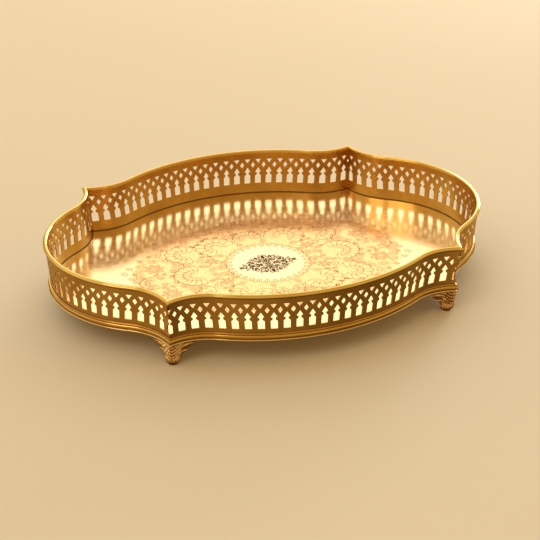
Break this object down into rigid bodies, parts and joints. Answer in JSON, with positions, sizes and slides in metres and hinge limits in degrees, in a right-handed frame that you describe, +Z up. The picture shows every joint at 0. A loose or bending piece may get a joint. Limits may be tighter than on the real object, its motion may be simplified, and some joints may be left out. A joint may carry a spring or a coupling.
{
  "type": "gallery tray",
  "caption": "Footed brass serving tray with a lobed outline, engraved sheet floor, pierced strip gallery, beaded rim, half-round base moulding and cast corner feet.",
  "frame": {"origin": "table level under the middle of the floor: the plane of the four soles, midway along and across", "axes": "+X along the tray's length towards its right end, +Y towards its back, +Z up"},
  "size_m": [0.3574, 0.2642, 0.0573],
  "materials": {
    "floor_brass": "polished sheet with fine engraved scrollwork",
    "gallery_brass": "polished pierced strip, browner in the corners",
    "bead_brass": "polished drawn bead",
    "cast_brass": "cast, antiqued in the hollows and rubbed bright on the ridges",
    "pin_brass": "darkened pin heads"
  },
  "bodies": {
    "root": {"floor_plate": "floor_brass", "gallery_front": "gallery_brass", "gallery_back": "gallery_brass", "gallery_left": "gallery_brass", "gallery_right": "gallery_brass", "rim_front": "bead_brass", "rim_back": "bead_brass", "rim_left": "bead_brass", "rim_right": "bead_brass", "base_moulding_front": "bead_brass", "base_moulding_back": "bead_brass", "base_moulding_left": "bead_brass", "base_moulding_right": "bead_brass", "foot_front_left": "cast_brass", "foot_front_right": "cast_brass", "foot_back_left": "cast_brass", "foot_back_right": "cast_brass", "moulding_pins": "pin_brass"}
  },
  "joints": []
}
